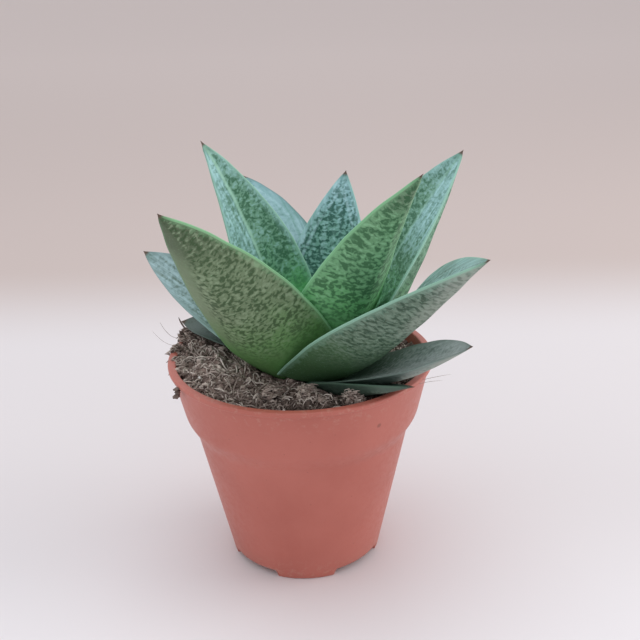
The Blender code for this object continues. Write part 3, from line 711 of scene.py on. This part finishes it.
def uneven(points, amount, size, seed):
    """Points pushed along their own noise, so that grown surfaces are never quite true."""
    moved = []
    for p in points:
        push = noise.noise_vector(Vector((p[0] / size + seed, p[1] / size, p[2] / size)))
        moved.append((p[0] + amount * push.x, p[1] + amount * push.y, p[2] + amount * push.z))
    return np.array(moved)


def make_leaf(row, number):
    """One leaf, finer than its CAD solid, with a thin rounded edge and a small brown point."""
    leaf = dict(zip(LEAF_FIELDS, row))
    rings, values, tip = leaf_rings(leaf)
    points, faces = rings_to_mesh(rings, tip)
    points = uneven(points, LEAF_UNEVEN, LEAF_UNEVEN_SIZE, 11.7 * number)
    values = values.reshape(-1, values.shape[2])
    values = np.vstack([values, values[0], values[-1]])
    name = leaf["name"]
    piece = make_piece(name + "_grown", points, faces, leaf_material(name, number))
    add_attribute(piece.data, "leaf_place", values[:, 0:3])
    add_attribute(piece.data, "leaf_edge", values[:, 3:6])
    add_attribute(piece.data, "leaf_share", values[:, 6])
    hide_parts(leaf["name"])
    return piece


# ================================================================ stem and pot
def round_angles(count):
    """That many even angles round a circle."""
    return 2.0 * math.pi * np.arange(count) / count


def polar(radius, angle):
    """The x and y of a place round the axis."""
    return radius * math.cos(angle), radius * math.sin(angle)


def level_ring(radius, z, segments, centre=(0.0, 0.0)):
    """Points of a level circle."""
    angles = round_angles(segments)
    return np.stack([centre[0] + radius * np.cos(angles), centre[1] + radius * np.sin(angles),
                     np.full(segments, z)], axis=1)


def turned(profile, segments, centre=(0.0, 0.0)):
    """Points and faces turned about a vertical axis from (radius, z) rows, ends on the axis."""
    rows = [level_ring(radius, z, segments, centre) for radius, z in profile[1:-1]]
    low = np.array([centre[0], centre[1], profile[0][1]])
    high = np.array([centre[0], centre[1], profile[-1][1]])
    return rings_to_mesh(np.array(rows), high, low)


def rounded(corners, steps=6):
    """A profile of (radius, z, rounding) corners with each rounding as an arc."""
    profile = [corners[0][:2]]
    for k in range(1, len(corners) - 1):
        corner = Vector(corners[k][:2])
        before = Vector(corners[k - 1][:2]) - corner
        after = Vector(corners[k + 1][:2]) - corner
        size = corners[k][2]
        if size <= 0.0:
            profile.append(tuple(corner))
            continue
        start = corner + before.normalized() * min(size, 0.48 * before.length)
        end = corner + after.normalized() * min(size, 0.48 * after.length)
        for j in range(steps + 1):
            t = j / steps
            point = start.lerp(corner, t).lerp(corner.lerp(end, t), t)
            profile.append(tuple(point))
    profile.append(corners[-1][:2])
    return profile


def filled_in(profile, longest):
    """The profile with extra points, so that no stretch is longer than that."""
    full = [profile[0]]
    for a, b in zip(profile, profile[1:]):
        parts = max(1, math.ceil(math.dist(a, b) / longest))
        for j in range(1, parts + 1):
            t = j / parts
            full.append((a[0] + (b[0] - a[0]) * t, a[1] + (b[1] - a[1]) * t))
    return full


def make_stem():
    """The short stem between the leaves, ringed by old leaf bases."""
    points, faces = turned(filled_in(STEM_PROFILE, 0.4), STEM_SEGMENTS, (STEM_X, STEM_Y))
    points = uneven(points, STEM_UNEVEN, STEM_UNEVEN_SIZE, 3.0)
    piece = make_piece("stem_grown", points, faces, stem_material())
    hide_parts("stem")


def inner_radius(z):
    """Radius of the pot's inner wall at height z in the collar."""
    return COLLAR_BOTTOM_RADIUS + COLLAR_SLOPE * (z - COLLAR_BOTTOM_Z) - WALL


def pot_profile():
    """The pot's section, from the axis under the floor to the axis on top of the floor."""
    lip_z = POT_HEIGHT - LIP_HEIGHT
    under_lip = COLLAR_BOTTOM_RADIUS + COLLAR_SLOPE * (lip_z - COLLAR_BOTTOM_Z) + COLLAR_EXTRA
    inside_top = inner_radius(POT_HEIGHT)
    foot_outer = BASE_RADIUS - 0.1
    foot_inner = foot_outer - FOOT_FLAT_WIDTH - 0.4
    corners = [
        (0.0, FLOOR_UNDERSIDE_Z, 0.0),
        (foot_inner - 0.3, FLOOR_UNDERSIDE_Z, 0.3),
        (foot_inner, 0.0, 0.25),
        (foot_outer, 0.0, 0.35),
        (BODY_TOP_RADIUS, BODY_TOP_Z, 0.8),
        (COLLAR_BOTTOM_RADIUS, COLLAR_BOTTOM_Z, 1.1),
        (under_lip, lip_z, 0.15),
        (RIM_RADIUS + LIP_EXTRA - 0.08, lip_z + 0.25, 0.25),
        (RIM_RADIUS + LIP_EXTRA, POT_HEIGHT - 0.1, 0.5),
        (RIM_RADIUS - 0.5, POT_HEIGHT, 0.4),
        (inside_top, POT_HEIGHT - 0.05, 0.3),
        (COLLAR_BOTTOM_RADIUS - WALL, COLLAR_BOTTOM_Z + 0.5, 1.0),
        (BODY_TOP_RADIUS - WALL, BODY_TOP_Z + 0.5, 1.0),
        (BASE_RADIUS + BODY_SLOPE * FLOOR_TOP_Z - WALL, FLOOR_TOP_Z, 0.6),
        (0.0, FLOOR_TOP_Z, 0.0),
    ]
    return filled_in(rounded(corners), 1.0)


def notch_depth(angle):
    """How far the foot is cut away at an angle in degrees, from 0 to NOTCH_HEIGHT."""
    half = math.degrees(0.5 * NOTCH_WIDTH / BASE_RADIUS)
    side = math.degrees(NOTCH_SIDE / BASE_RADIUS)
    for middle in NOTCH_ANGLES:
        off = abs((angle - middle + 180.0) % 360.0 - 180.0)
        if off < half + side:
            t = min(1.0, (half + side - off) / (2.0 * side))
            return NOTCH_HEIGHT * t * t * (3.0 - 2.0 * t)
    return 0.0


def notched(points):
    """The points with the foot's lowest band pushed up where the notches are."""
    for p in points:
        if p[2] < FOOT_BAND and math.hypot(p[0], p[1]) > 0.8 * BASE_RADIUS:
            cut = notch_depth(math.degrees(math.atan2(p[1], p[0])))
            p[2] = cut + p[2] * (FOOT_BAND - cut) / FOOT_BAND
    return points


def drill(piece, places, radius, low, high):
    """Cut round holes through a piece, and leave no modifier behind."""
    for k, (x, y) in enumerate(places):
        profile = [(0.0, low), (radius, low), (radius, high), (0.0, high)]
        points, faces = turned(profile, 32, (x, y))
        mesh = bpy.data.meshes.new("drill_%d" % k)
        mesh.from_pydata(((points + AXIS) * MM).tolist(), [], faces)
        cutter = put_in_scene("drill_%d" % k, mesh)
        cut = piece.modifiers.new("drill_%d" % k, "BOOLEAN")
        cut.operation = "DIFFERENCE"
        cut.solver = "EXACT"
        cut.object = cutter
    bpy.context.view_layer.update()
    made = piece.evaluated_get(bpy.context.evaluated_depsgraph_get())
    drilled = bpy.data.meshes.new_from_object(made)
    cutters = [cut.object for cut in piece.modifiers]
    piece.modifiers.clear()
    piece.data = drilled
    for cutter in cutters:
        bpy.data.objects.remove(cutter)


def make_pot():
    """The thin moulded pot with its collar, rim bead, notched foot and drain holes."""
    points, faces = turned(pot_profile(), POT_SEGMENTS)
    piece = make_piece("pot_moulded", notched(points), faces, pot_material())
    drains = [(0.0, 0.0)]
    for angle in NOTCH_ANGLES:
        drains.append(polar(DRAIN_CIRCLE_RADIUS, math.radians(angle)))
    drill(piece, drains, DRAIN_RADIUS, FLOOR_UNDERSIDE_Z - 1.0, FLOOR_TOP_Z + 1.0)
    piece.data.set_sharp_from_angle(angle=math.radians(50.0))
    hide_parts("pot")


# ================================================================ soil
class Ground:
    """The soil's surface: its height anywhere, and the leaves that lie over it."""

    def __init__(self, leaves):
        self.trees = []
        for leaf in leaves:
            corners = [v.co for v in leaf.data.vertices]
            faces = [tuple(p.vertices) for p in leaf.data.polygons]
            self.trees.append(BVHTree.FromPolygons(corners, faces))

    def leaf_above(self, x, y):
        """Height of the lowest leaf surface over a place, or a large number."""
        start = Vector(((x + AXIS[0]) * MM, (y + AXIS[1]) * MM, 0.030))
        lowest = 1000.0
        for tree in self.trees:
            hit = tree.ray_cast(start, Vector((0.0, 0.0, 1.0)))
            if hit[0] is not None:
                lowest = min(lowest, hit[0].z / MM)
        return lowest

    def smooth_height(self, x, y):
        """Height of the soil without its crumbs."""
        z = SOIL_LEVEL
        for hx, hy, radius, height in SOIL_HEAPS:
            z += height * math.exp(-((x - hx) ** 2 + (y - hy) ** 2) / (radius * radius))
        return z + 0.5 * wave(0.16 * x, 0.16 * y, 1.7)

    def height(self, x, y):
        """Height of the crumbly surface, before the leaves press on it."""
        z = self.smooth_height(x, y)
        for scale, height, seed, folded in SOIL_WAVES:
            rise = wave(scale * x, scale * y, seed)
            z += height * (abs(rise) if folded else rise)
        wall = inner_radius(SOIL_LEVEL) - math.hypot(x, y)
        return min(z, SOIL_AT_WALL + SOIL_WALL_SLOPE * wall)


def make_soil(ground):
    """The root ball: crumbly on top, pressed down under the leaves, smooth at the wall."""
    low_z = FLOOR_TOP_Z + SOIL_GAP
    side = [
        (BASE_RADIUS + BODY_SLOPE * low_z - WALL - SOIL_GAP - 0.4, low_z),
        (BODY_TOP_RADIUS - WALL - SOIL_GAP, BODY_TOP_Z + 0.5),
        (COLLAR_BOTTOM_RADIUS - WALL - SOIL_GAP, COLLAR_BOTTOM_Z + 1.0),
        (inner_radius(COLLAR_MIDDLE_Z) - SOIL_GAP, COLLAR_MIDDLE_Z),
    ]
    rings = [level_ring(radius, z, SOIL_SEGMENTS) for radius, z in side]
    for k in range(SOIL_RINGS):
        share = (SOIL_RINGS - k) / SOIL_RINGS
        radius = (inner_radius(SOIL_LEVEL) - SOIL_GAP) * share
        ring = []
        for a in round_angles(SOIL_SEGMENTS):
            x, y = polar(radius, a)
            z = min(ground.height(x, y), ground.leaf_above(x, y) - 0.05)
            ring.append((x, y, max(z, SOIL_LOWEST_TOP)))
        rings.append(np.array(ring))
    points, faces = rings_to_mesh(np.array(rings), np.array([0.0, 0.0, SOIL_MIDDLE_Z]),
                                 np.array([0.0, 0.0, low_z]))
    piece = make_piece("soil_bed", points, faces, soil_material("soil_peat", *BED_PEAT))
    tone = [0.30 + 0.35 * wave(0.9 * p[0], 0.9 * p[1], 0.0) + soil_tone(p[0], p[1])
            for p in points]
    add_attribute(piece.data, "tone", tone)
    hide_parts("soil")


def tube(path, radius, sides):
    """Rings of a thin tube along a path, thinner towards both ends."""
    path = np.asarray(path, dtype=float)
    along = np.gradient(path, axis=0)
    along /= np.linalg.norm(along, axis=1)[:, None] + 1e-9
    up = np.array([0.0, 0.0, 1.0])
    across = np.cross(along, up)
    across /= np.linalg.norm(across, axis=1)[:, None] + 1e-9
    other = np.cross(across, along)
    t = np.linspace(-1.0, 1.0, len(path))
    size = radius * (1.0 - 0.75 * np.abs(t) ** 3)
    angles = round_angles(sides)
    rings = []
    for k in range(len(path)):
        ring = np.outer(np.cos(angles), across[k]) + np.outer(np.sin(angles), other[k])
        rings.append(path[k] + size[k] * ring)
    return np.array(rings)


class Heap:
    """Many small closed bodies gathered into one mesh, each with a tone of its own."""

    def __init__(self):
        self.points = []
        self.faces = []
        self.tones = []

    def put(self, points, faces, tone):
        first = len(self.points)
        self.points.extend(points.tolist())
        self.faces.extend([tuple(first + i for i in face) for face in faces])
        self.tones.extend([tone] * len(points))

    def put_tube(self, path, radius, sides, tone):
        rings = tube(path, radius, sides)
        points, faces = rings_to_mesh(rings, rings[-1].mean(axis=0))
        self.put(points, faces, tone)

    def piece(self, name, material):
        made = make_piece(name, self.points, self.faces, material)
        add_attribute(made.data, "tone", self.tones)


def ramp(value, start, length):
    """From 0 at the start to 1 a length further on."""
    return min(1.0, max(0.0, (value - start) / length))


def soil_tone(x, y):
    """How much paler the dry peat at the left is, and how much darker the peat at the front is painted, as
    painted shade of the pot's wall.
    """
    dry = math.exp(-((x - DRY_MIDDLE[0]) ** 2 + (y - DRY_MIDDLE[1]) ** 2) / DRY_SPREAD)
    # painted shade: darker beside the wall at the front right
    wall_shade = ramp(math.hypot(x, y), 19.5, 3.0) * ramp(-y, 11.0, 5.0) * ramp(x, -13.0, 8.0)
    return DRY_PALER * dry - WALL_SHADE_DARKER * wall_shade


def soil_place(rng):
    """A random place on the soil."""
    radius = (inner_radius(SOIL_LEVEL) - 0.8) * math.sqrt(rng.random())
    return polar(radius, rng.uniform(0.0, 2.0 * math.pi))


def fibre_path(rng, ground, x, y, length, curl, lift):
    """A wandering line over the soil that stays in the pot and under no leaf, or None."""
    steps = max(7, int(length / 0.55))
    heading = rng.uniform(0.0, 2.0 * math.pi)
    bend = rng.gauss(0.0, curl)
    path = []
    for k in range(steps):
        if math.hypot(x, y) > inner_radius(SOIL_LEVEL) - 0.35:
            break
        z = ground.height(x, y) + lift * math.sin(math.pi * k / (steps - 1)) + 0.12
        if ground.leaf_above(x, y) < z + 0.5:
            break
        path.append((x, y, z))
        bend = 0.8 * bend + rng.gauss(0.0, 0.5 * curl)
        heading += bend
        x += length / steps * math.cos(heading)
        y += length / steps * math.sin(heading)
    if len(path) < 5:
        return None
    path = np.array(path)
    path[1:-1, 2] = 0.25 * path[:-2, 2] + 0.5 * path[1:-1, 2] + 0.25 * path[2:, 2]
    return path


def make_fibres(ground):
    """Curled peat fibres that lie over one another all over the soil."""
    rng = random.Random(5)
    heap = Heap()
    for count, shortest, longest, thinnest, thickest, curl, lift in FIBRE_KINDS:
        for _ in range(count):
            x, y = soil_place(rng)
            length = rng.uniform(shortest, longest)
            bending = curl * rng.uniform(0.5, 1.3)
            path = fibre_path(rng, ground, x, y, length, bending, rng.uniform(0.0, lift))
            thick = rng.uniform(thinnest, thickest)
            tone = rng.gauss(0.5, 0.30) + soil_tone(x, y)
            if path is not None:
                heap.put_tube(path, thick, 5, tone)
    heap.piece("peat_fibres", soil_material("fibre_peat", *FIBRE_PEAT))


def crumb_shape(level):
    """Points and faces of a ball of triangles."""
    mesh = bpy.data.meshes.new("crumb_ball")
    ball = bmesh.new()
    bmesh.ops.create_icosphere(ball, subdivisions=level, radius=1.0)
    ball.to_mesh(mesh)
    ball.free()
    points = np.array([tuple(v.co) for v in mesh.vertices])
    faces = [tuple(p.vertices) for p in mesh.polygons]
    bpy.data.meshes.remove(mesh)
    return points, faces


def put_crumb(heap, rng, ball, place, size, tone):
    """One lump of peat: a ball pressed flat, turned and dented."""
    points, faces = ball
    stretch = np.array([rng.uniform(0.7, 1.3), rng.uniform(0.6, 1.1), rng.uniform(0.4, 0.8)])
    turn = Matrix.Rotation(rng.uniform(0.0, 6.28), 3, "Z") @ Matrix.Rotation(rng.uniform(-0.7, 0.7), 3, "X")
    seed = rng.uniform(0.0, 90.0)
    dents = []
    for p in points:
        coarse = wave(1.3 * p[0] + seed, 1.3 * p[1], 1.3 * p[2])
        fine = wave(3.4 * p[0] + seed, 3.4 * p[1], 3.4 * p[2])
        dents.append(1.0 + 0.8 * coarse + 0.55 * fine)
    shaped = points * np.array(dents)[:, None] * stretch * size
    heap.put(shaped @ np.array(turn).T + np.array(place), faces, tone)


def make_crumbs(ground):
    """Lumps and grains of peat between the fibres."""
    rng = random.Random(8)
    material = soil_material("crumb_peat", *CRUMB_PEAT)
    for name, count, smallest, largest, fineness in CRUMB_KINDS:
        ball = crumb_shape(fineness)
        heap = Heap()
        for _ in range(count):
            x, y = soil_place(rng)
            size = rng.uniform(smallest, largest)
            z = ground.height(x, y) + 0.2 * size
            hidden = ground.leaf_above(x, y) < z + size
            if not hidden and math.hypot(x, y) < inner_radius(SOIL_LEVEL) - size:
                put_crumb(heap, rng, ball, (x, y, z), size, rng.random() ** 1.3 + soil_tone(x, y))
        heap.piece(name, material)


def make_mounds():
    """Loose heaps of peat: pale ones at the front, and brown ones on the rim at the left."""
    rng = random.Random(17)
    ball = crumb_shape(2)
    heap = Heap()
    for middle, spread, height, lumps, fibres, pale in MOUNDS:
        for k in range(lumps + fibres):
            share = math.sqrt(rng.random())
            off_x, off_y = polar(spread * share, rng.uniform(0.0, 2.0 * math.pi))
            x = middle[0] + off_x
            y = middle[1] + off_y
            if math.hypot(x, y) > RIM_RADIUS + MOUND_REACH:
                continue
            top = middle[2] + height * (1.0 - share * share)
            if k < lumps:
                place = (x, y, middle[2] + (top - middle[2]) * rng.uniform(0.2, 1.0))
                put_crumb(heap, rng, ball, place, rng.uniform(0.22, 0.6), pale + rng.random() ** 1.4)
            else:
                turn = rng.uniform(0.0, 2.0 * math.pi)
                reach = rng.uniform(0.5, 1.5)
                t = np.linspace(-1.0, 1.0, 9)
                bow = 0.5 * np.sin(2.4 * t + turn)
                path = np.stack([x + reach * t * math.cos(turn) - bow * math.sin(turn),
                                 y + reach * t * math.sin(turn) + bow * math.cos(turn),
                                 top + 0.4 * np.cos(1.6 * t + turn)], axis=1)
                heap.put_tube(path, rng.uniform(0.08, 0.18), 5, pale + rng.gauss(0.5, 0.24))
    heap.piece("peat_mounds", soil_material("mound_peat", *MOUND_PEAT))


def grit_material():
    """Pale mineral grains."""
    skin = Skin("grit_stone", roughness=0.7)
    cloud = skin.noise(skin.place_mm(), 2.2, 3.0)
    colour = skin.mix(skin.step(cloud, 0.35, 0.65), (206, 198, 192), (240, 236, 232))
    fine = skin.noise(skin.place_mm(), 6.0, 2.0)
    return skin.finish(colour, None, fine, depth=0.05)


def make_details(ground):
    """White grit, crumbs stuck to the collar, and hairs and a dried root that stick out over the rim."""
    rng = random.Random(3)
    ball = crumb_shape(2)
    grit = Heap()
    for x, y in GRIT:
        size = rng.uniform(0.24, 0.38)
        put_crumb(grit, rng, ball, (x, y, ground.height(x, y) + 0.8 * size), size, 1.0)
    grit.piece("white_grit", grit_material())
    stray = Heap()
    for place in COLLAR_CRUMBS:
        put_crumb(stray, rng, ball, place, COLLAR_CRUMB_SIZE, 0.4)
    for start, middle, end, radius in HAIRS:
        t = np.linspace(0.0, 1.0, 15)[:, None]
        path = np.array(start) * (1 - t) ** 2 + np.array(middle) * 2 * t * (1 - t) + np.array(end) * t * t
        stray.put_tube(path, radius, 5, 0.35 if radius > 0.1 else 0.8)
    stray.piece("stray_peat", soil_material("stray_peat", *STRAY_PEAT))


def main():
    """Build every piece of the object, the leaves first."""
    leaves = [make_leaf(row, number) for number, row in enumerate(LEAVES)]
    make_stem()
    make_pot()
    ground = Ground(leaves)
    make_soil(ground)
    make_fibres(ground)
    make_crumbs(ground)
    make_mounds()
    make_details(ground)


# ================================================================ floor, lights and camera
CAMERA_ELEVATION = 22.0
CAMERA_ROLL = 1.5
CAMERA_DISTANCE = 208.7
CAMERA_TARGET = (4.34, 0.0, 52.9)
CAMERA_LENS = 56.25
FLOOR_REACH = 6.0
SKY_COLOUR = (0.93, 0.95, 1.0, 1.0)
SKY_STRENGTH = 0.82
# lamps: name, place and target in metres, size, power and colour
LAMPS = (
    ("top", (-0.05, 0.12, 0.60), (0.0, 0.0, 0.05), 0.50, 0.9, (0.93, 0.97, 1.0)),
    ("right", (0.55, 0.05, 0.25), (0.0, 0.0, 0.04), 0.40, 1.12, (1.0, 0.98, 0.96)),
    ("left", (-0.55, -0.05, 0.25), (0.0, 0.0, 0.04), 0.40, 0.25, (1.0, 0.98, 0.96)),
)


def make_floor():
    """A plain pale floor, painted brighter just in front of the pot as painted light, and a little darker
    and pinker far behind the pot.
    """
    mesh = bpy.data.meshes.new("floor")
    corners = [(-FLOOR_REACH, -FLOOR_REACH, 0), (FLOOR_REACH, -FLOOR_REACH, 0),
               (FLOOR_REACH, FLOOR_REACH, 0), (-FLOOR_REACH, FLOOR_REACH, 0)]
    mesh.from_pydata(corners, [], [(0, 1, 2, 3)])
    floor = put_in_scene("floor", mesh)
    skin = Skin("floor_paint", roughness=0.6, Specular_IOR_Level=0.3)
    depth = skin.parts(skin.place_mm())[1]
    # painted light: the floor nearest the camera is brighter
    near = skin.mix(skin.step(depth, -70.0, 30.0), (240, 236, 237), (223, 216, 216))
    far = skin.mix(skin.step(depth, 300.0, 900.0), (199, 183, 177), (214, 198, 192))
    mesh.materials.append(skin.finish(skin.mix(skin.step(depth, 110.0, 200.0), near, far)))


def add_area(name, place, target, size, power, colour):
    """A soft square lamp that looks at a point; lengths in metres."""
    lamp = bpy.data.lights.new(name, "AREA")
    lamp.size = size
    lamp.energy = power
    lamp.color = colour
    thing = put_in_scene(name, lamp)
    thing.location = place
    thing.rotation_euler = (Vector(target) - Vector(place)).to_track_quat("-Z", "Y").to_euler()


def make_lights():
    """Soft daylight from all round, with a cooler and brighter top."""
    world = bpy.data.worlds.new("studio")
    world.use_nodes = True
    background = world.node_tree.nodes["Background"]
    background.inputs["Color"].default_value = SKY_COLOUR
    background.inputs["Strength"].default_value = SKY_STRENGTH
    bpy.context.scene.world = world
    for lamp in LAMPS:
        add_area(*lamp)


def make_camera():
    """The camera at the photograph's viewing angle."""
    elevation = math.radians(CAMERA_ELEVATION)
    roll = math.radians(CAMERA_ROLL)
    back = Vector((0.0, -math.cos(elevation), math.sin(elevation)))
    level = Vector((1.0, 0.0, 0.0))
    upright = Vector((0.0, math.sin(elevation), math.cos(elevation)))
    right = math.cos(roll) * level - math.sin(roll) * upright
    up = math.sin(roll) * level + math.cos(roll) * upright
    place = (Vector(CAMERA_TARGET) + Vector(AXIS) + CAMERA_DISTANCE * back) * MM
    lens = bpy.data.cameras.new("camera")
    lens.lens = CAMERA_LENS
    lens.sensor_width = 36.0
    lens.clip_start = 0.005
    camera = put_in_scene("camera", lens)
    turn = Matrix((right, up, back)).transposed().to_4x4()
    camera.matrix_world = Matrix.Translation(place) @ turn
    bpy.context.scene.camera = camera


main()
make_floor()
make_lights()
make_camera()
bpy.context.scene.view_settings.view_transform = "Standard"
